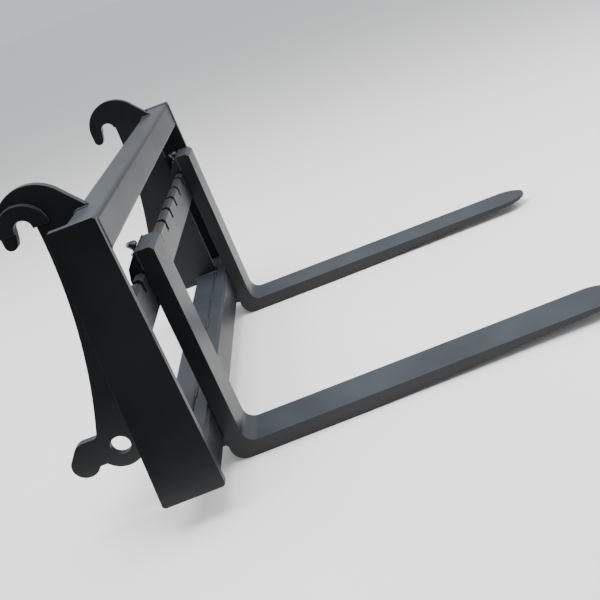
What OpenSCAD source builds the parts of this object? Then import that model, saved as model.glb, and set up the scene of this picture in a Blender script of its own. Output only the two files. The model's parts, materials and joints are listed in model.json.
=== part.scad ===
// Pallet fork attachment: a hook-on carriage frame with two sliding fork arms.
// X runs across the frame, -Y is the way the forks point, +Z is up.
// Z = 0 is the floor under the fork blades.

/* [Frame] */
// Overall width across the side plates
frame_w = 1400; // [1100:10:1800]
// Height of the side plates
frame_h = 735; // [700:5:900]
// Depth of the side plates at their top
side_d_top = 115; // [100:1:140]
// Depth of the side plates at their bottom
side_d_low = 161; // [154:1:200]
// Thickness of the side plates
side_t = 20; // [10:1:30]
// How far the side plates stand past the tube above and the bar below
side_proud = 4; // [1:0.5:8]
// Corner chamfer of the side plates
side_chamfer = 6; // [1:0.5:12]

/* [Cross tubes] */
// Depth of both cross tubes, and the height of the lower one
tube_d = 80; // [70:1:95]
// Height of the upper cross tube
tube_h = 90; // [70:1:95]
// Wall of both cross tubes
tube_wall = 6; // [4:0.5:9]
// Outer corner radius of both cross tubes
tube_r = 12; // [10:0.5:16]

/* [Carriage bars] */
// Height from the bottom of the lower bar to the top of the upper bar
carriage_h = 508; // [480:1:540]
// Height of each bar
bar_h = 98; // [80:1:110]
// Thickness of each bar
bar_t = 44; // [40:1:52]
// Thickness of the lip that the fork hooks grip
lip_t = 22; // [18:0.5:24]
// Depth of the rebate behind each lip
lip_depth = 39; // [36:1:46]
// Chamfer along the inner front edges of the bars
bar_chamfer = 8; // [3:0.5:10]
// How far the bar faces stand behind the front edge of the side plates
bar_setback = 16; // [10:1:24]
// Spacing of the latch notches
notch_pitch = 120; // [110:1:126]
// Width of each latch notch
notch_w = 22; // [20:0.5:28]
// Depth of each latch notch
notch_d = 36; // [28:0.5:38]
// Notches on each half of the upper bar
notches_a_side = 5; // [5:1:5]

/* [Hook plates] */
// Thickness of each hook plate
hook_t = 20; // [16:1:35]
// Distance from the frame's outer face to a hook plate's outer face
hook_inset = 145; // [120:1:200]
// Width of the hook mouth at its throat
mouth_w = 45; // [36:0.5:48]
// Bore for the lower attachment pin
pin_bore = 52; // [40:0.5:62]
// Outer radius of the hook head
head_r = 94; // [90:0.5:110]
// Outer radius of the boss round the pin bore
boss_r = 61; // [56:0.5:70]
// Radius of the round nose of the lower lug
nose_r = 36; // [28:0.5:40]
// Thickness of the cheek welded round the hook mouth
cheek_t = 10; // [5:0.5:16]
// Radial width of the cheek
cheek_w = 36; // [15:0.5:37]

/* [Forks] */
// Width of a fork arm
fork_w = 125; // [90:1:140]
// Thickness of a fork arm
fork_t = 45; // [35:1:55]
// Blade length from the front of the shank to the tip
blade_len = 1095; // [900:5:1400]
// Thickness of the blade at the tip
tip_t = 11; // [8:0.5:18]
// Full-thickness length of the blade before it tapers
taper_start = 330; // [200:10:500]
// Height of the shank above the upper bar
shank_rise = 55; // [55:1:80]
// Distance from the blade's underside to the bottom of the lower bar
fork_drop = 86; // [70:1:110]
// Outer radius of the heel
heel_r_out = 45; // [25:1:60]
// Inner radius of the heel
heel_r_in = 36; // [20:1:60]
// Thickness of the lip on each fork hook
hook_lip_t = 16; // [12:0.5:19]
// Reach of each fork hook's lip over its bar
hook_lip_reach = 33; // [26:0.5:35]

/* [Latches] */
// Diameter of the latch pin
latch_d = 14; // [14:0.5:17]
// Travel of the latch pin
latch_travel = 12; // [10:0.5:14]
// Diameter of the latch pin's stem
stem_d = 9; // [8:0.5:9]
// Diameter of the latch knob
knob_d = 29; // [24:0.5:30]
// Height of the latch knob
knob_h = 18; // [15:0.5:22]
// Wire diameter of the latch spring
wire_d = 1.8; // [1.5:0.1:1.9]

/* [Hidden] */
$fn = 72;

paint = [0.09, 0.09, 0.10];
fork_paint = [0.16, 0.17, 0.19];
zinc = [0.66, 0.67, 0.68];
spring_steel = [0.35, 0.35, 0.37];

// Clearances
slide_gap = 0.5;      // fork arm to bar faces
blend = 0.3;          // how far a straight edge runs inside the arc it meets
hook_gap = 1.5;       // fork hooks to bar edges
run_gap = 0.05;       // latch pin and stem, radial
cut = 1;              // overrun of a cutting shape

// Heights and depths shared by several pieces
side_low = fork_drop - side_proud;
side_top = side_low + frame_h;
tube_top = side_top - side_proud;
tube_low = tube_top - tube_h;
bar_low = fork_drop;
bar_top = bar_low + carriage_h;
bar_face = bar_setback;
bar_rear = bar_face + bar_t;
tube_face = 2;
tube_rear = tube_face + tube_d;
low_tube_top = bar_low + bar_h;
low_tube_low = low_tube_top - tube_d;
low_tube_rear = bar_rear + tube_d;
inner_w = frame_w - 2 * side_t;
hook_x = frame_w / 2 - hook_inset;

// Fork arms
fork_back = bar_face - slide_gap;
fork_front = fork_back - fork_t;
tip_y = fork_front - blade_len;
shank_top = bar_top + shank_rise;
shank_chamfer = 10;
tip_bow = 37.5;       // how far each tip arc's centre stands across the blade
tip_nose = 0.7;       // radius of the tip's round nose, in half widths
tip_join = 0.43;      // where the nose meets the arcs, in nose radii
tip_blunt = 6;        // how much the nose blunts the arcs' point
left_notch = 3.5;     // left fork stands this many pitches left of centre
right_notch = 4.5;    // right fork stands this many pitches right of centre
left_x = -left_notch * notch_pitch;
right_x = right_notch * notch_pitch;
hook_back = bar_face + lip_t + hook_gap + hook_lip_t;
hook_slope = [36, 66]; // drops of the upper hook's two sloped rear faces
hook_bevel = 7.5;     // depth of the lower, steeper one
hook_flat = 4;        // flat top left behind the shank

// Latch, measured with the pin raised
knob_gap = 2.4;       // between the knob and the back of the shank
latch_y = fork_back + knob_d / 2 + knob_gap;
latch_tip = bar_top + 2;
shoulder_z = latch_tip + 18;
cap_d = 20;
cap_flange_d = 26;
cap_flange_t = 2.5;
cap_plug = 5;
seat_d = max(cap_flange_d, knob_d) + 2;
seat_z = shank_top - 22;
cap_low = seat_z - cap_plug;
knob_low = seat_z + cap_flange_t + latch_travel + 0.5;
knob_crown = 5;       // solid metal left above the stem
knob_bore_depth = knob_h - knob_crown;
knob_neck = 2;        // how far the knob's foot stands out round the stem
knob_rim = 3;         // chamfer round the knob's top
stem_top = knob_low + knob_bore_depth;
spring_turns = 3;
spring_mid_r = latch_d / 2 - wire_d / 2 - 0.4;

// Hook plate outline
web_front = bar_rear;
head_y = 168;
head_z = tube_top + 3;
mouth_y = head_y + 33.5;
mouth_r = mouth_w / 2;
flare_in = 5;         // how far the mouth widens towards the web
flare_out = 7;        // how far it widens towards the lip
flare_h = 32;
wall_y = mouth_y - mouth_r - flare_in;
lip_in = mouth_y + mouth_r + flare_out;
lip_out = head_y + head_r;
lip_end_r = (lip_out - lip_in) / 2;
lip_end_z = head_z - 25;
foot_y = 50;
foot_z = tube_top + 7;
sweep_r = 1575;
sweep_y = wall_y + sweep_r;
sweep_z = head_z + 14;
bore_y = low_tube_rear + 98.5;
bore_z = low_tube_top + 26;
nose_a = [bore_y + 83.5, bore_z + 6];
nose_b = [bore_y + 101.5, bore_z - 18];
lug_top = nose_a[1] + nose_r;
lug_low = bore_z - 35;
web_low = bore_z - 50;
fillet_r = 16;
cheek_low = head_z - 4;
lug_in = 45;          // where the lug's straight underside starts behind the bore
lug_out = 25;         // how far short of the nose it ends
hook_foot = 24;       // metal of the lower fork hook below its bar
hook_foot_c = 12;     // its rear chamfer

// The part's origin is under the middle of its bounding box
rear_y = nose_b[0] + nose_r;
mid_y = (tip_y + rear_y) / 2;

module placed() {
    translate([0, -mid_y, 0]) children();
}

// Extrudes an outline drawn in the Y-Z plane along X
module slab(x0, w) {
    translate([x0, 0, 0]) rotate([90, 0, 90]) linear_extrude(w) children();
}

module box(lo, hi) {
    translate(lo) cube(hi - lo);
}

module area(lo, hi) {
    translate(lo) square(hi - lo);
}

module disc(at, r) {
    translate(at) circle(r = r);
}

module rounded_area(lo, hi, r) {
    area([lo[0] + r, lo[1]], [hi[0] - r, hi[1]]);
    area([lo[0], lo[1] + r], [hi[0], hi[1] - r]);
    for (y = [lo[0] + r, hi[0] - r], z = [lo[1] + r, hi[1] - r])
        disc([y, z], r);
}

// Side plates, deeper at the bottom than at the top
module side_plate(side) {
    x0 = side < 0 ? -frame_w / 2 : frame_w / 2 - side_t;
    c = side_chamfer;
    color(paint) placed() slab(x0, side_t)
        polygon([
            [0, side_low + c], [c, side_low], [side_d_low - c, side_low],
            [side_d_low, side_low + c], [side_d_top, side_top - c], [side_d_top - c, side_top],
            [c, side_top], [0, side_top - c]
        ]);
}

// Hollow cross tubes, closed at both ends by the side plates
module cross_tube(lo, hi) {
    w = [tube_wall, tube_wall];
    color(paint) placed() slab(-inner_w / 2, inner_w) difference() {
        rounded_area(lo, hi, tube_r);
        rounded_area(lo + w, hi - w, tube_r - tube_wall);
    }
}

module top_tube() {
    cross_tube([tube_face, tube_low], [tube_rear, tube_top]);
}

module lower_tube() {
    cross_tube([bar_rear, low_tube_low], [low_tube_rear, low_tube_top]);
}

// Carriage bar with its lip upwards; the lower bar is the same section turned over
module bar_section() {
    c = bar_chamfer;
    polygon([
        [0, 0], [bar_t, 0], [bar_t, bar_h - lip_depth], [lip_t, bar_h - lip_depth],
        [lip_t, bar_h], [c, bar_h], [0, bar_h - c]
    ]);
}

module low_bar_section() {
    c = bar_chamfer;
    polygon([
        [0, 0], [lip_t, 0], [lip_t, lip_depth], [bar_t, lip_depth],
        [bar_t, bar_h], [c, bar_h], [0, bar_h - c]
    ]);
}

module notch(x) {
    box([x - notch_w / 2, bar_face - cut, bar_top - notch_d],
        [x + notch_w / 2, bar_face + lip_t + cut, bar_top + cut]);
}

module upper_bar() {
    color(paint) placed() difference() {
        slab(-inner_w / 2, inner_w) translate([bar_face, bar_top - bar_h]) bar_section();
        for (i = [0 : notches_a_side - 1], side = [-1, 1])
            notch(side * (i + 0.5) * notch_pitch);
    }
}

module lower_bar() {
    color(paint) placed() slab(-inner_w / 2, inner_w)
        translate([bar_face, bar_low]) low_bar_section();
}

// Where the straight top slope touches the hook head
function slope_touch() =
    let (v = [foot_y - head_y, foot_z - head_z],
         r = head_r - blend,
         a = atan2(v[1], v[0]) - acos(r / norm(v)))
    [head_y + r * cos(a), head_z + r * sin(a)];

module hook_head() {
    intersection() {
        disc([head_y, head_z], head_r);
        area([head_y - head_r, head_z], [lip_out, head_z + head_r + cut]);
    }
    polygon([
        [foot_y, tube_top], [tube_rear + cut, tube_top], [wall_y - 15, head_z],
        [head_y, head_z + head_r / 2], slope_touch(), [foot_y, foot_z]
    ]);
    area([mouth_y, lip_end_z], [lip_out, head_z + cut]);
    disc([lip_out - lip_end_r, lip_end_z], lip_end_r);
}

module hook_web() {
    difference() {
        area([web_front, web_low], [bore_y + 60, head_z + 12]);
        disc([sweep_y, sweep_z], sweep_r, $fn = 180);
        area([bore_y, web_low - cut], [bore_y + 60 + cut, bore_z]);
    }
}

// Mouth: a round throat with walls that flare out below it
module mouth() {
    disc([mouth_y, head_z], mouth_r);
    polygon([
        [wall_y, head_z - flare_h], [lip_in + blend, head_z - flare_h],
        [mouth_y + mouth_r - blend, head_z], [mouth_y - mouth_r + blend, head_z]
    ]);
}

module lug() {
    reach = nose_r - blend;
    along = (nose_b - nose_a) / norm(nose_b - nose_a) * reach;
    across = [-along[1], along[0]];
    disc([bore_y, bore_z], boss_r);
    disc(nose_a, nose_r);
    disc(nose_b, nose_r);
    polygon([nose_a - across, nose_b - across, nose_b + across, nose_a + across]);
    polygon([
        [bore_y, bore_z], [bore_y + lug_in, lug_low], [nose_b[0] - lug_out, lug_low],
        nose_b, [nose_a[0], lug_top - blend], [bore_y, lug_top - blend]
    ]);
    difference() {
        area([bore_y + 20, lug_top - 4], [bore_y + 55, lug_top + fillet_r - 2]);
        disc([bore_y + 56, lug_top + fillet_r - 2 * blend], fillet_r);
    }
}

module hook_plate(side) {
    x0 = side < 0 ? -hook_x : hook_x - hook_t;
    color(paint) placed() difference() {
        slab(x0, hook_t) difference() {
            union() {
                hook_head();
                hook_web();
                lug();
            }
            mouth();
            area([tube_face, tube_low], [tube_rear, tube_top]);
            area([bar_face, low_tube_low], [low_tube_rear, low_tube_top]);
        }
        translate([x0 - cut, bore_y, bore_z]) rotate([0, 90, 0])
            cylinder(d = pin_bore, h = hook_t + 2 * cut);
    }
}

// Cheek round the mouth, on the outer face of each hook plate
module hook_cheek(side) {
    x0 = side < 0 ? -hook_x - cheek_t : hook_x;
    color(paint) placed() slab(x0, cheek_t) difference() {
        disc([mouth_y, head_z], mouth_r + cheek_w);
        mouth();
        area([wall_y - cheek_w, head_z - mouth_w * 2], [lip_out + cut, cheek_low]);
    }
}

// Fork arm: shank and tapered blade in one forging
module fork_side() {
    c = shank_chamfer;
    difference() {
        union() {
            polygon([
                [fork_front, 0], [fork_back, 0], [fork_back, shank_top],
                [fork_front + c, shank_top], [fork_front, shank_top - c]
            ]);
            polygon([
                [fork_back, fork_t], [tip_y, fork_t], [tip_y, fork_t - tip_t],
                [fork_front - taper_start, 0], [fork_back, 0]
            ]);
            area([fork_front - heel_r_in, fork_t], [fork_front, fork_t + heel_r_in]);
        }
        disc([fork_front - heel_r_in, fork_t + heel_r_in], heel_r_in);
        difference() {
            area([fork_back - heel_r_out, -cut], [fork_back + cut, heel_r_out]);
            disc([fork_back - heel_r_out, heel_r_out], heel_r_out);
        }
    }
}

// Seen from above, the tip is a blunt arch of two wide arcs with a round nose
module fork_plan(x, r) {
    bow = tip_bow;
    nose = r * tip_nose;
    arch = sqrt((r + bow) * (r + bow) - bow * bow) - tip_blunt;
    area([x - r, tip_y + arch - cut], [x + r, fork_back + cut]);
    intersection() {
        disc([x - bow, tip_y + arch], r + bow);
        disc([x + bow, tip_y + arch], r + bow);
        union() {
            disc([x, tip_y + nose], nose);
            area([x - r, tip_y + nose * tip_join], [x + r, tip_y + arch + cut]);
        }
    }
}

module fork(x) {
    r = fork_w / 2;
    color(fork_paint) placed() difference() {
        intersection() {
            slab(x - r, fork_w) fork_side();
            translate([0, 0, -cut]) linear_extrude(shank_top + 2 * cut) fork_plan(x, r);
        }
        latch_seat(x);
    }
}

// Round seat that the latch cap sits in and the knob drops into
module latch_seat(x) {
    translate([x, latch_y, seat_z]) cylinder(d = seat_d, h = shank_rise);
}

// Upper fork hook, welded behind the shank and hung over the upper bar
module upper_hook(x) {
    color(fork_paint) placed() difference() {
        slab(x - fork_w / 2, fork_w) difference() {
            polygon([
                [fork_back, bar_top - hook_lip_reach], [hook_back, bar_top - hook_lip_reach],
                [hook_back, shank_top - hook_slope[1]],
                [hook_back - hook_bevel, shank_top - hook_slope[0]],
                [fork_back + hook_flat, shank_top], [fork_back, shank_top]
            ]);
            area([fork_back - cut, bar_top - hook_lip_reach - cut],
                 [bar_face + lip_t + hook_gap, bar_top + hook_gap]);
        }
        latch_seat(x);
        translate([x, latch_y, bar_top - hook_lip_reach - cut])
            cylinder(d = latch_d + 2 * run_gap, h = hook_lip_reach + shank_rise);
        translate([x, latch_y, cap_low])
            cylinder(d = cap_d, h = shank_rise);
    }
}

// Lower fork hook, welded behind the shank and gripping the lower bar from below
module lower_hook(x) {
    low = bar_low - hook_gap - hook_foot;
    color(fork_paint) placed() slab(x - fork_w / 2, fork_w) difference() {
        polygon([
            [fork_back, low], [hook_back - hook_foot_c, low], [hook_back, low + hook_foot_c],
            [hook_back, bar_low + hook_lip_reach], [fork_back, bar_low + hook_lip_reach]
        ]);
        area([fork_back - cut, bar_low - hook_gap],
             [bar_face + lip_t + hook_gap, bar_low + hook_lip_reach + cut]);
    }
}

// Latch pin with its stem, shown raised clear of the upper bar
module latch_pin(x) {
    nose = 2;
    color(zinc) placed() translate([x, latch_y, 0]) rotate_extrude() polygon([
        [0, latch_tip], [latch_d / 2 - nose, latch_tip], [latch_d / 2, latch_tip + nose],
        [latch_d / 2, shoulder_z], [stem_d / 2, shoulder_z], [stem_d / 2, stem_top],
        [0, stem_top]
    ]);
}

// Coil spring between the pin's shoulder and the cap
module latch_spring(x) {
    sides = 8;
    steps = 16;
    rise = (cap_low - shoulder_z - wire_d) / spring_turns;
    rings = spring_turns * steps;
    points = [
        for (i = [0 : rings], j = [0 : sides - 1])
            let (a = 360 * i / steps, b = 360 * j / sides, r = spring_mid_r + wire_d / 2 * cos(b))
            [r * cos(a), r * sin(a),
             shoulder_z + wire_d / 2 + rise * i / steps + wire_d / 2 * sin(b) * 0.98]
    ];
    skin = [
        for (i = [0 : rings - 1], j = [0 : sides - 1])
            let (k = (j + 1) % sides)
            [i * sides + j, i * sides + k, (i + 1) * sides + k, (i + 1) * sides + j]
    ];
    start = [for (j = [sides - 1 : -1 : 0]) j];
    finish = [for (j = [0 : sides - 1]) rings * sides + j];
    color(spring_steel) placed() translate([x, latch_y, 0])
        polyhedron(points, concat([start], skin, [finish]));
}

// Cap that closes the spring's bore and guides the stem
module latch_cap(x) {
    color(zinc) placed() translate([x, latch_y, 0]) difference() {
        union() {
            translate([0, 0, cap_low]) cylinder(d = cap_d, h = cap_plug);
            translate([0, 0, seat_z]) cylinder(d = cap_flange_d, h = cap_flange_t);
        }
        translate([0, 0, cap_low - cut])
            cylinder(d = stem_d + 2 * run_gap, h = cap_plug + cap_flange_t + 2 * cut);
    }
}

// Round knob on the stem, flared like a mushroom
module latch_knob(x) {
    r = knob_d / 2;
    neck = stem_d / 2 + knob_neck;
    rim = knob_h / 2;
    color(spring_steel) placed() translate([x, latch_y, knob_low]) difference() {
        rotate_extrude() polygon([
            [0, 0], [neck, 0], [r, rim], [r, knob_h - knob_rim], [r - knob_rim, knob_h], [0, knob_h]
        ]);
        translate([0, 0, -cut]) cylinder(d = stem_d, h = knob_bore_depth + cut);
    }
}

side_plate(-1);  // side_plate_left
side_plate(1);  // side_plate_right
top_tube();
lower_tube();
upper_bar();
lower_bar();
hook_plate(-1);  // hook_plate_left
hook_plate(1);  // hook_plate_right
hook_cheek(-1);  // hook_cheek_left
hook_cheek(1);  // hook_cheek_right
fork(left_x);  // fork_left
fork(right_x);  // fork_right
upper_hook(left_x);  // upper_hook_left
upper_hook(right_x);  // upper_hook_right
lower_hook(left_x);  // lower_hook_left
lower_hook(right_x);  // lower_hook_right
latch_pin(left_x);  // latch_pin_left
latch_pin(right_x);  // latch_pin_right
latch_spring(left_x);  // latch_spring_left
latch_spring(right_x);  // latch_spring_right
latch_cap(left_x);  // latch_cap_left
latch_cap(right_x);  // latch_cap_right
latch_knob(left_x);  // latch_knob_left
latch_knob(right_x);  // latch_knob_right
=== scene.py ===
# %% [markdown]
# A hook-on pallet fork attachment: a welded carriage frame, two forged fork arms that slide
# along it, and a spring latch on each arm. The exact solids come from the CAD model, already in
# place, so this lesson is about what the CAD leaves out: the weld beads that hold the plates
# together, the paint and plating on each piece, and the light it all stands in.

# %% Load the CAD model
import json
import math

import bpy
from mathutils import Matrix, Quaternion, Vector


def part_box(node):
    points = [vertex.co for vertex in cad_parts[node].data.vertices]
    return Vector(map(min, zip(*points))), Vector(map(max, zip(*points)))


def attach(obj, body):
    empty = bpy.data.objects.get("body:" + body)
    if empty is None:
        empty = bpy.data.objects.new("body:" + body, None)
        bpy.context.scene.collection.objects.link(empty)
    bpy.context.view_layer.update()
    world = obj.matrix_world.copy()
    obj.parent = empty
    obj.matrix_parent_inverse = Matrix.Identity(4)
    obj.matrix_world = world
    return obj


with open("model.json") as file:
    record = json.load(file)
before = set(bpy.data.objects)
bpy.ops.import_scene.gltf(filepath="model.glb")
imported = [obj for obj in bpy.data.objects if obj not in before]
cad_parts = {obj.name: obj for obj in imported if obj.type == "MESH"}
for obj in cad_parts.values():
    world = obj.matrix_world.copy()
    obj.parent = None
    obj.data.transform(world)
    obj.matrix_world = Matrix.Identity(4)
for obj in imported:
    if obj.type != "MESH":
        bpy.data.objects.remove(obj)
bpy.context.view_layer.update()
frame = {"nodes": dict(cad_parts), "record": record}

# %% [markdown]
# Colours are picked as sRGB hex values, the way a paint chart gives them, but a shader works in
# linear light. One function converts them, so no colour is ever converted twice. A second small
# function adds a shader node with its settings and links, which keeps each material short enough
# to read from top to bottom.

# %% Two helpers for materials
MM = 0.001


def linear(hex_colour):
    """Turns an sRGB hex colour into the linear RGBA that shaders use."""
    channels = [int(hex_colour[i : i + 2], 16) / 255 for i in (1, 3, 5)]
    return [c / 12.92 if c <= 0.04045 else ((c + 0.055) / 1.055) ** 2.4 for c in channels] + [1.0]


def add(tree, kind, inputs=None, **settings):
    """Adds one node, applies its settings, then fills or links each named input."""
    node = tree.nodes.new(kind)
    for name, value in settings.items():
        setattr(node, name, value)
    for name, value in (inputs or {}).items():
        if isinstance(value, bpy.types.NodeSocket):
            tree.links.new(value, node.inputs[name])
        else:
            node.inputs[name].default_value = value
    return node


def new_material(name):
    """Returns an empty material, its node tree and its object coordinates."""
    material = bpy.data.materials.new(name)
    material.use_nodes = True
    tree = material.node_tree
    tree.nodes.clear()
    return material, tree, add(tree, "ShaderNodeTexCoord").outputs["Object"]


def show(tree, shader):
    add(tree, "ShaderNodeOutputMaterial", {"Surface": shader.outputs["BSDF"]})


print("black enamel in linear light:", [round(c, 4) for c in linear("#1B1C1E")])

# %% [markdown]
# Most of the object is black enamel, sprayed over steel plate. Three things give such paint its
# look. Film thickness varies over a hand's breadth, which changes the gloss. Orange peel, a
# ripple a few millimetres across, breaks up the reflections. Faces that look up are turned
# blue-grey in their colour: partly settled dust, partly painted light standing for the lit look
# of top faces. The forged arms have a coarser skin under the same paint. One function
# makes both finishes, because they differ only in a few numbers.

# %% A function for enamel on steel
PEEL_MM = 5.0  # real orange peel is 1 to 3 mm across: drawn coarser so that it shows
PEEL_DEPTH_MM = 0.12
# size of the patches in the blue-grey on upward faces, which is settled dust and painted top light
DUST_AND_TOP_LIGHT_PATCH_MM = 160.0
FILM_PATCH_MM = 420.0
FLECK_MM = 7.0
EDGE_ROUND_MM = 2.0


def noise(tree, coords, size_mm, detail=3.0, roughness=0.55):
    """Noise whose blotches are about size_mm across."""
    return add(
        tree,
        "ShaderNodeTexNoise",
        {"Vector": coords, "Scale": 1 / (size_mm * MM), "Detail": detail, "Roughness": roughness},
    ).outputs["Fac"]


def remap(tree, value, low, high, to_low, to_high):
    """Maps the range low..high onto to_low..to_high, clamped."""
    return add(
        tree,
        "ShaderNodeMapRange",
        {"Value": value, "From Min": low, "From Max": high, "To Min": to_low, "To Max": to_high},
    ).outputs["Result"]


def blend(tree, factor, first, second):
    """Mixes two colours, each a hex value or a socket."""
    first, second = (linear(c) if isinstance(c, str) else c for c in (first, second))
    return add(
        tree, "ShaderNodeMix", {0: factor, 6: first, 7: second}, data_type="RGBA"
    ).outputs[2]


def maths(tree, operation, first, second):
    return add(tree, "ShaderNodeMath", {0: first, 1: second}, operation=operation).outputs[0]


def bump(tree, height, depth_mm, strength, normal):
    """Dents a normal with a height pattern depth_mm deep."""
    return add(
        tree,
        "ShaderNodeBump",
        {"Height": height, "Distance": depth_mm * MM, "Strength": strength, "Normal": normal},
    ).outputs["Normal"]


def enamel(name, dark, light, gloss, skin_mm, skin_depth_mm, dust_and_top_light, dust_and_top_light_amount):
    """Sprayed enamel on steel, with orange peel, a blue-grey on upward faces that is partly settled dust
    and partly painted top light, and paint rubbed thin at the edges.
    """
    material, tree, coords = new_material(name)
    film = noise(tree, coords, FILM_PATCH_MM, detail=4.0)
    colour = blend(tree, remap(tree, film, 0.35, 0.7, 0.0, 1.0), dark, light)

    rounded = add(tree, "ShaderNodeBevel", {"Radius": EDGE_ROUND_MM * MM}, samples=4).outputs["Normal"]
    flat = add(tree, "ShaderNodeNewGeometry").outputs["Normal"]
    facing = add(
        tree, "ShaderNodeVectorMath", {0: rounded, 1: flat}, operation="DOT_PRODUCT"
    ).outputs["Value"]
    flecks = noise(tree, coords, FLECK_MM, detail=5.0, roughness=0.7)
    at_edge = remap(tree, facing, 0.93, 0.8, 0.0, 1.0)
    worn = maths(tree, "MULTIPLY", at_edge, remap(tree, flecks, 0.52, 0.6, 0.0, 0.6))
    colour = blend(tree, worn, colour, "#55585C")

    # Painted light and dust: faces that look up are blended towards a blue-grey, which stands partly for
    # settled dust and partly for the lit look of top faces, painted into the colour.
    upward = add(tree, "ShaderNodeSeparateXYZ", {0: flat}).outputs["Z"]
    patches = noise(tree, coords, DUST_AND_TOP_LIGHT_PATCH_MM, detail=6.0)
    level = remap(tree, upward, 0.2, 0.95, 0.0, dust_and_top_light_amount)
    dust_and_top_light_mask = maths(tree, "MULTIPLY", level, remap(tree, patches, 0.3, 0.7, 0.55, 1.0))
    colour = blend(tree, dust_and_top_light_mask, colour, dust_and_top_light)

    roughness = remap(tree, film, 0.3, 0.7, gloss - 0.05, gloss + 0.07)
    roughness = maths(tree, "ADD", roughness, maths(tree, "MULTIPLY", dust_and_top_light_mask, 0.25))

    peel = noise(tree, coords, PEEL_MM, detail=2.0)
    skin = noise(tree, coords, skin_mm, detail=4.0)
    coarse = bump(tree, skin, skin_depth_mm, 0.6, rounded)
    fine = bump(tree, peel, PEEL_DEPTH_MM, 0.5, coarse)
    show(
        tree,
        add(
            tree,
            "ShaderNodeBsdfPrincipled",
            {"Base Color": colour, "Roughness": roughness, "Normal": fine, "IOR": 1.42},
        ),
    )
    return material


# %% The enamel on plate, on forgings and on welds
# In each call the blue-grey colour and the number after it tint upward faces: partly settled dust,
# partly painted top light.
# Flat plate under enamel: nearly smooth, with broad soft reflections.
enamel_on_plate = enamel(
    "black enamel on rolled plate", "#111214", "#1A1B1E", 0.38, 60.0, 0.5, "#4E565F", 0.42
)
# Forged arms: the scale left by the hammer shows through as a slow, shallow dimpling.
enamel_on_forging = enamel(
    "black enamel on forged arms", "#121316", "#1B1D21", 0.40, 28.0, 0.7, "#4E565F", 0.45
)
# Weld beads: the same paint, thinner and duller over the ripples.
enamel_on_weld = enamel(
    "black enamel on weld bead", "#191A1C", "#242628", 0.36, 8.0, 0.3, "#4C545C", 0.35
)
print("enamels:", [m.name for m in (enamel_on_plate, enamel_on_forging, enamel_on_weld)])

# %% [markdown]
# The latch parts are bare metal. Zinc plating is a soft grey with faint crystals a millimetre or
# two wide and a slight yellow stain. The turned knob keeps the fine rings left by the lathe,
# which run round its axis. Those rings are too fine to show, so they are drawn about four times
# as wide. Spring wire is drawn through a die and oiled, so it is dark and smooth.

# %% Zinc, turned steel and spring wire
CRYSTAL_MM = 2.5
LATHE_RING_MM = 1.2


def zinc_plate():
    """Zinc-plated steel: grey crystals with a faint yellow stain."""
    material, tree, coords = new_material("zinc-plated steel")
    crystals = add(
        tree, "ShaderNodeTexVoronoi", {"Vector": coords, "Scale": 1 / (CRYSTAL_MM * MM)}
    ).outputs["Color"]
    shade = add(tree, "ShaderNodeSeparateColor", {0: crystals}).outputs["Red"]
    colour = blend(tree, shade, "#8E9192", "#A6A8A6")
    stain = noise(tree, coords, 12.0, detail=4.0)
    colour = blend(tree, remap(tree, stain, 0.5, 0.75, 0.0, 0.4), colour, "#8F8468")
    roughness = remap(tree, shade, 0.0, 1.0, 0.34, 0.46)
    show(
        tree,
        add(
            tree,
            "ShaderNodeBsdfPrincipled",
            {"Base Color": colour, "Roughness": roughness, "Metallic": 1.0},
        ),
    )
    return material


def turned_steel():
    """Lathe-turned steel: fine level rings, darkened by handling."""
    material, tree, coords = new_material("turned steel")
    rings = add(
        tree,
        "ShaderNodeTexWave",
        {"Vector": coords, "Scale": 0.314 / (LATHE_RING_MM * MM), "Distortion": 0.4},
        wave_type="BANDS",
        bands_direction="Z",
    ).outputs["Fac"]
    grime = noise(tree, coords, 9.0, detail=5.0)
    colour = blend(tree, remap(tree, grime, 0.42, 0.7, 0.0, 0.8), "#77797B", "#35332F")
    grooves = add(
        tree, "ShaderNodeBump", {"Height": rings, "Distance": 0.08 * MM, "Strength": 0.5}
    ).outputs["Normal"]
    roughness = remap(tree, grime, 0.4, 0.7, 0.32, 0.55)
    show(
        tree,
        add(
            tree,
            "ShaderNodeBsdfPrincipled",
            {"Base Color": colour, "Roughness": roughness, "Metallic": 1.0, "Normal": grooves},
        ),
    )
    return material


def spring_wire():
    """Drawn and oiled spring wire: dark, smooth, with patches of thicker oil."""
    material, tree, coords = new_material("oiled spring wire")
    oil = noise(tree, coords, 4.0, detail=4.0)
    colour = blend(tree, oil, "#3B3C3E", "#5C5D5F")
    roughness = remap(tree, oil, 0.3, 0.7, 0.22, 0.42)
    show(
        tree,
        add(
            tree,
            "ShaderNodeBsdfPrincipled",
            {"Base Color": colour, "Roughness": roughness, "Metallic": 1.0},
        ),
    )
    return material


SLOT_FINISHES = {
    "frame_paint": enamel_on_plate,
    "fork_paint": enamel_on_forging,
    "zinc": zinc_plate(),
    "knob_steel": turned_steel(),
    "spring_steel": spring_wire(),
}
for entry in frame["record"]["subparts"]:
    slots = frame["nodes"][entry["node"]].data.materials
    slots.clear()
    slots.append(SLOT_FINISHES[entry["material_slot"]])

# %% [markdown]
# Every plate is held by a weld bead: a rounded line of metal with one ripple for each pulse of
# the welder's hand. A swept tube would give a smooth sausage, so Geometry Nodes lay one small
# flattened ball for each ripple along the seam, each a little different in size. The seams
# themselves are simple lines. They are worked out from the boxes of the CAD nodes, so a bead
# always lies on the joint between two pieces.

# %% Measure the pieces that the seams follow
top_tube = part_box("top_tube")
lower_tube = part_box("lower_tube")
upper_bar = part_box("upper_bar")
lower_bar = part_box("lower_bar")
TUBE_CORNER = 12 * MM
BAR_LIP = 22 * MM
BAR_LIP_DEPTH = 39 * MM
BAR_CHAMFER = 8 * MM


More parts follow.
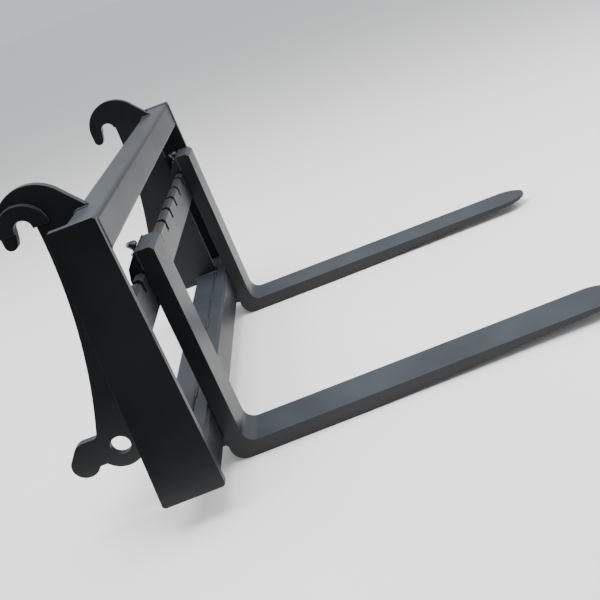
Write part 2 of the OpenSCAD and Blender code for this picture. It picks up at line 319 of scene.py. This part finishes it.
def arc(centre, radius, start, end, steps=6):
    """Points on an arc in the Y-Z plane. Angles are in degrees from +Y towards +Z."""
    angles = [math.radians(start + (end - start) * i / steps) for i in range(steps + 1)]
    return [(centre[0] + radius * math.cos(a), centre[1] + radius * math.sin(a)) for a in angles]


def tube_outline(box):
    """The outline of a cross tube, with its rounded corners, as (y, z) points."""
    (low, high), r = box, TUBE_CORNER
    corners = [
        ((low.y + r, high.z - r), 180),
        ((high.y - r, high.z - r), 90),
        ((high.y - r, low.z + r), 0),
        ((low.y + r, low.z + r), -90),
    ]
    points = [p for centre, start in corners for p in arc(centre, r, start, start - 90)]
    return points + points[:1]


print("tube outline has", len(tube_outline(top_tube)), "points")

# %% [markdown]
# The seams of the frame fall into three groups. The tubes and bars are welded all round where
# they meet the side plates. Each hook plate is welded to the tubes and bars on both its faces,
# and its round cheek is welded round the outside. The lower bar is stitched to the lower tube
# with short runs, because a long run would pull the bar out of straight.

# %% Lay out the frame's seams
BEAD = 5.0 * MM
THIN_BEAD = 3.5 * MM
STITCH = 60 * MM
STITCH_GAP = 160 * MM
WEB_FOOT = 14 * MM  # the web of a hook plate starts this far above the bottom of its boss


def at_x(x, points):
    return [Vector((x, y, z)) for y, z in points]


def bar_outline(box, lip_up):
    """The outline of a carriage bar as (y, z) points, starting at the lip's root."""
    low, high = box
    lip_y = low.y + BAR_LIP
    top_front = [(low.y, high.z - BAR_CHAMFER), (low.y + BAR_CHAMFER, high.z)]
    if lip_up:
        root_z = high.z - BAR_LIP_DEPTH
        points = [(lip_y, root_z), (high.y, root_z), (high.y, low.z), (low.y, low.z)]
        points += [*top_front, (lip_y, high.z)]
    else:
        root_z = low.z + BAR_LIP_DEPTH
        points = [(high.y, high.z), top_front[1], top_front[0], (low.y, low.z)]
        points += [(lip_y, low.z), (lip_y, root_z)]
    return points


def frame_seams():
    """Every seam of the welded frame, as (points, bead radius)."""
    over, back = slice(7, 21), slice(7, 14)  # points of a tube outline: top and rear, then rear top
    seams = []
    for end in (0, 1):
        x = top_tube[end].x
        seams.append((at_x(x, tube_outline(top_tube)), BEAD))
        seams.append((at_x(x, tube_outline(lower_tube)), BEAD))
        seams.append((at_x(x, bar_outline(upper_bar, True)), BEAD))
        seams.append((at_x(x, bar_outline(lower_bar, False)), BEAD))
    for side in ("left", "right"):
        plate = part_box("hook_plate_" + side)
        over_top = [(plate[0].y, top_tube[1].z), *tube_outline(top_tube)[over]]
        over_top.append((upper_bar[1].y, top_tube[0].z))
        behind_bar = [(upper_bar[1].y, upper_bar[0].z), (upper_bar[1].y, upper_bar[1].z - BAR_LIP_DEPTH)]
        on_lower = [(lower_bar[1].y, lower_tube[1].z), *tube_outline(lower_tube)[back]]
        on_lower.append((lower_tube[1].y, plate[0].z + WEB_FOOT))
        for x in (plate[0].x, plate[1].x):
            for points in (over_top, behind_bar, on_lower):
                seams.append((at_x(x, points), BEAD))
        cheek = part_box("hook_cheek_" + side)
        radius = (cheek[1].y - cheek[0].y) / 2
        centre = ((cheek[0].y + cheek[1].y) / 2, cheek[1].z - radius)
        plate_face = plate[0].x if side == "left" else plate[1].x
        seams.append((at_x(plate_face, arc(centre, radius, -2, 182, steps=24)), THIN_BEAD))
    run = lower_bar[0].x + STITCH
    while run + STITCH < lower_bar[1].x - STITCH:
        top_seam = [Vector((x, lower_bar[1].y, lower_bar[1].z)) for x in (run, run + STITCH)]
        seams.append((top_seam, THIN_BEAD))
        run += STITCH + STITCH_GAP
    return seams


print("the frame has", len(frame_seams()), "seams")

# %% [markdown]
# A fork arm is one forging, but its hooks are cut from bar and welded to the back of the shank.
# The hooks are as wide as the arm, so these seams are ground into the side faces and stand only
# a little proud. Under the lower hook and across the top they are ordinary beads.

# %% Lay out the seams of each fork arm
SIDE_BEAD = 3.0 * MM
SEAT_RIM = 4 * MM  # kept clear beside the latch cap
BAR_RIM = 8 * MM  # kept clear next to a carriage bar


def fork_seams(side):
    """The seams that hold the two hooks to one fork arm."""
    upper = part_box("upper_hook_" + side)
    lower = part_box("lower_hook_" + side)
    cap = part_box("latch_cap_" + side)
    back = upper[0].y
    seams = []
    for x in (upper[0].x, upper[1].x):
        side_top = [Vector((x, back, upper_bar[1].z + BAR_RIM)), Vector((x, back, upper[1].z))]
        side_low = [Vector((x, back, lower[0].z)), Vector((x, back, lower_bar[0].z - BAR_RIM))]
        seams += [(side_top, SIDE_BEAD), (side_low, SIDE_BEAD)]
    for start, end in ((upper[0].x, cap[0].x - SEAT_RIM), (cap[1].x + SEAT_RIM, upper[1].x)):
        seams.append(([Vector((start, back, upper[1].z)), Vector((end, back, upper[1].z))], SIDE_BEAD))
    under = [Vector((x, back, lower[0].z)) for x in (lower[0].x, lower[1].x)]
    seams.append((under, BEAD))
    return seams


print("each fork arm has", len(fork_seams("left")), "seams")

# %% [markdown]
# The node tree takes a mesh of seam lines. It turns them into curves, drops a point at every
# ripple, and puts one ball on each point, squashed along the bead. The bead's radius travels with
# the seam as an attribute, so one tree serves thick and thin beads. The tree ends in Realize
# Instances and Set Material, because instances are lost when the model is exported.

# %% Build the weld bead node tree
RIPPLE_MM = 4.0
RIPPLE_SPREAD = 0.14
RIPPLE_SQUASH = 0.75
RIPPLE_SEED = 7


def bead_tree():
    """Geometry Nodes that lay rippled weld beads along lines."""
    tree = bpy.data.node_groups.new("weld beads", "GeometryNodeTree")
    tree.interface.new_socket("Seams", in_out="INPUT", socket_type="NodeSocketGeometry")
    tree.interface.new_socket("Ripple length", in_out="INPUT", socket_type="NodeSocketFloat")
    tree.interface.new_socket("Ripple spread", in_out="INPUT", socket_type="NodeSocketFloat")
    tree.interface.new_socket("Finish", in_out="INPUT", socket_type="NodeSocketMaterial")
    tree.interface.new_socket("Beads", in_out="OUTPUT", socket_type="NodeSocketGeometry")
    given = add(tree, "NodeGroupInput").outputs

    curves = add(tree, "GeometryNodeMeshToCurve", {0: given["Seams"]}).outputs[0]
    resampled = add(
        tree,
        "GeometryNodeResampleCurve",
        {"Curve": curves, "Length": given["Ripple length"]},
        mode="LENGTH",
    ).outputs["Curve"]
    points = add(tree, "GeometryNodeCurveToPoints", {"Curve": resampled}, mode="EVALUATED").outputs

    ball = add(
        tree, "GeometryNodeMeshUVSphere", {"Segments": 8, "Rings": 5, "Radius": 1.0}
    ).outputs["Mesh"]
    ripple = add(
        tree, "GeometryNodeTransform", {"Geometry": ball, "Scale": (1.0, 1.0, RIPPLE_SQUASH)}
    ).outputs[0]

    radius = add(
        tree, "GeometryNodeInputNamedAttribute", {"Name": "bead"}, data_type="FLOAT"
    ).outputs["Attribute"]
    smallest = maths(tree, "SUBTRACT", 1.0, given["Ripple spread"])
    wobble = add(
        tree,
        "FunctionNodeRandomValue",
        {"Min": smallest, "Max": 1.0, "Seed": RIPPLE_SEED},
        data_type="FLOAT",
    )
    size = maths(tree, "MULTIPLY", radius, wobble.outputs["Value"])
    laid = add(
        tree,
        "GeometryNodeInstanceOnPoints",
        {"Points": points["Points"], "Instance": ripple, "Rotation": points["Rotation"], "Scale": size},
    ).outputs["Instances"]
    real = add(tree, "GeometryNodeRealizeInstances", {"Geometry": laid}).outputs["Geometry"]
    smooth = add(tree, "GeometryNodeSetShadeSmooth", {"Geometry": real}).outputs["Geometry"]
    finished = add(
        tree, "GeometryNodeSetMaterial", {"Geometry": smooth, "Material": given["Finish"]}
    ).outputs["Geometry"]
    add(tree, "NodeGroupOutput", {"Beads": finished})
    return tree


BEAD_TREE = bead_tree()
print("weld bead tree has", len(BEAD_TREE.nodes), "nodes")

# %% [markdown]
# Each body gets one mesh of beads. The seam lines go into a plain mesh with a radius on every
# vertex, the tree is run on it, and the result is taken out as an ordinary mesh that rides on
# the body.

# %% Turn seams into beads


def weld(name, seams, body):
    """Makes one mesh of weld beads for a body and lets it ride on that body."""
    lines = bpy.data.meshes.new(name + "_lines")
    vertices, edges, radii = [], [], []
    for points, radius in seams:
        first = len(vertices)
        vertices += points
        edges += [(first + i, first + i + 1) for i in range(len(points) - 1)]
        radii += [radius] * len(points)
    lines.from_pydata(vertices, edges, [])
    lines.attributes.new("bead", "FLOAT", "POINT").data.foreach_set("value", radii)
    guide = bpy.data.objects.new(name + "_lines", lines)
    bpy.context.collection.objects.link(guide)

    modifier = guide.modifiers.new("beads", "NODES")
    modifier.node_group = BEAD_TREE
    given = {"Ripple length": RIPPLE_MM * MM, "Ripple spread": RIPPLE_SPREAD, "Finish": enamel_on_weld}
    for item in BEAD_TREE.interface.items_tree:
        if item.in_out == "INPUT" and item.name in given:
            modifier[item.identifier] = given[item.name]

    graph = bpy.context.evaluated_depsgraph_get()
    mesh = bpy.data.meshes.new_from_object(guide.evaluated_get(graph), depsgraph=graph)
    bpy.data.objects.remove(guide)
    mesh.name = name
    mesh.materials.clear()
    mesh.materials.append(enamel_on_weld)
    mesh.polygons.foreach_set("material_index", [0] * len(mesh.polygons))
    beads = bpy.data.objects.new(name, mesh)
    bpy.context.collection.objects.link(beads)
    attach(beads, body)
    print(name, "has", len(mesh.polygons), "faces and finish", [m.name for m in mesh.materials])
    return beads


frame_beads = weld("frame_welds", frame_seams(), "frame")
fork_beads = [weld("fork_welds_" + side, fork_seams(side), "fork_" + side) for side in ("left", "right")]

# %% [markdown]
# The object stands on a plain pale floor. One large soft light in front and above brings out the
# bars and the tops of the blades, and the side that faces the camera stays dark, as black paint
# does when nothing bright stands opposite. A black card on that side, seen only in reflections,
# keeps the pale floor from shining in the paint. The floor is one large sheet, so no edge of it
# shows in any view.

# %% Floor and lights
FLOOR_HALF = 200.0
floor_mesh = bpy.data.meshes.new("floor")
floor_signs = ((-1, -1), (1, -1), (1, 1), (-1, 1))
floor_corners = [(x * FLOOR_HALF, y * FLOOR_HALF, 0) for x, y in floor_signs]
floor_mesh.from_pydata(floor_corners, [], [(0, 1, 2, 3)])
floor = bpy.data.objects.new("floor", floor_mesh)
bpy.context.collection.objects.link(floor)

floor_paint, tree, coords = new_material("pale studio floor")
mottle = noise(tree, coords, 900.0, detail=5.0)
show(
    tree,
    add(
        tree,
        "ShaderNodeBsdfPrincipled",
        {"Base Color": blend(tree, mottle, "#F6F6F6", "#FBFBFB"), "Roughness": 0.8},
    ),
)
floor_mesh.materials.append(floor_paint)


def soft_light(name, place, target, size, watts):
    """A square area light that points at a target."""
    light = bpy.data.lights.new(name, "AREA")
    light.size = size
    light.energy = watts
    holder = bpy.data.objects.new(name, light)
    holder.location = place
    holder.rotation_mode = "QUATERNION"
    holder.rotation_quaternion = (Vector(target) - Vector(place)).to_track_quat("-Z", "Y")
    bpy.context.collection.objects.link(holder)
    return holder


card_mesh = bpy.data.meshes.new("black card")
CARD_FAR, CARD_NEAR, CARD_HALF, CARD_TOP, CARD_LIFT = -5.0, -0.85, 4.0, 3.5, 0.01
card_profile = ((CARD_FAR, CARD_TOP), (CARD_FAR, CARD_LIFT), (CARD_NEAR, CARD_LIFT))
card_corners = [(x, y, z) for x, z in card_profile for y in (-CARD_HALF, CARD_HALF)]
card_mesh.from_pydata(card_corners, [], [(0, 1, 3, 2), (2, 3, 5, 4)])
card = bpy.data.objects.new("black card", card_mesh)
bpy.context.collection.objects.link(card)
card_paint, tree, coords = new_material("black card")
show(tree, add(tree, "ShaderNodeBsdfPrincipled", {"Base Color": linear("#0B0B0C"), "Roughness": 1.0}))
card_mesh.materials.append(card_paint)
card.visible_camera = card.visible_diffuse = card.visible_shadow = False

middle = (0.0, 0.1, 0.4)
soft_light("front softbox", (0.6, -3.2, 3.0), middle, 2.6, 120.0)
soft_light("overhead softbox", (-0.6, 0.4, 4.2), middle, 3.0, 260.0)
soft_light("rear fill", (0.8, 3.6, 2.4), middle, 2.5, 60.0)

world = bpy.data.worlds.new("studio")
world.use_nodes = True
world.node_tree.nodes["Background"].inputs["Color"].default_value = linear("#F2F4F7")
world.node_tree.nodes["Background"].inputs["Strength"].default_value = 0.8
bpy.context.scene.world = world

# %% [markdown]
# The camera is hand-held: it stands off the left end of the frame, a little above it, looks down
# along the bars and leans to one side. Its place and its three angles are all that is needed.
# The shift slides the picture without turning the camera.

# %% Camera
CAMERA_PLACE = (-2.56, -0.197, 1.228)
HEADING = -1.35  # degrees from +X
TILT = -17.43  # degrees below level
ROLL = -20.5  # degrees

heading, tilt = math.radians(HEADING), math.radians(TILT)
level = math.cos(tilt)
forward = Vector((level * math.cos(heading), level * math.sin(heading), math.sin(tilt)))
camera_data = bpy.data.cameras.new("camera")
camera_data.sensor_width = 36.0
camera_data.lens = 52.3
camera_data.shift_x = -0.144
camera_data.shift_y = -0.189
camera = bpy.data.objects.new("camera", camera_data)
camera.location = CAMERA_PLACE
camera.rotation_mode = "QUATERNION"
camera.rotation_quaternion = forward.to_track_quat("-Z", "Y") @ Quaternion((0, 0, 1), math.radians(ROLL))
bpy.context.collection.objects.link(camera)
bpy.context.scene.camera = camera
print("camera looks along", [round(c, 3) for c in forward])
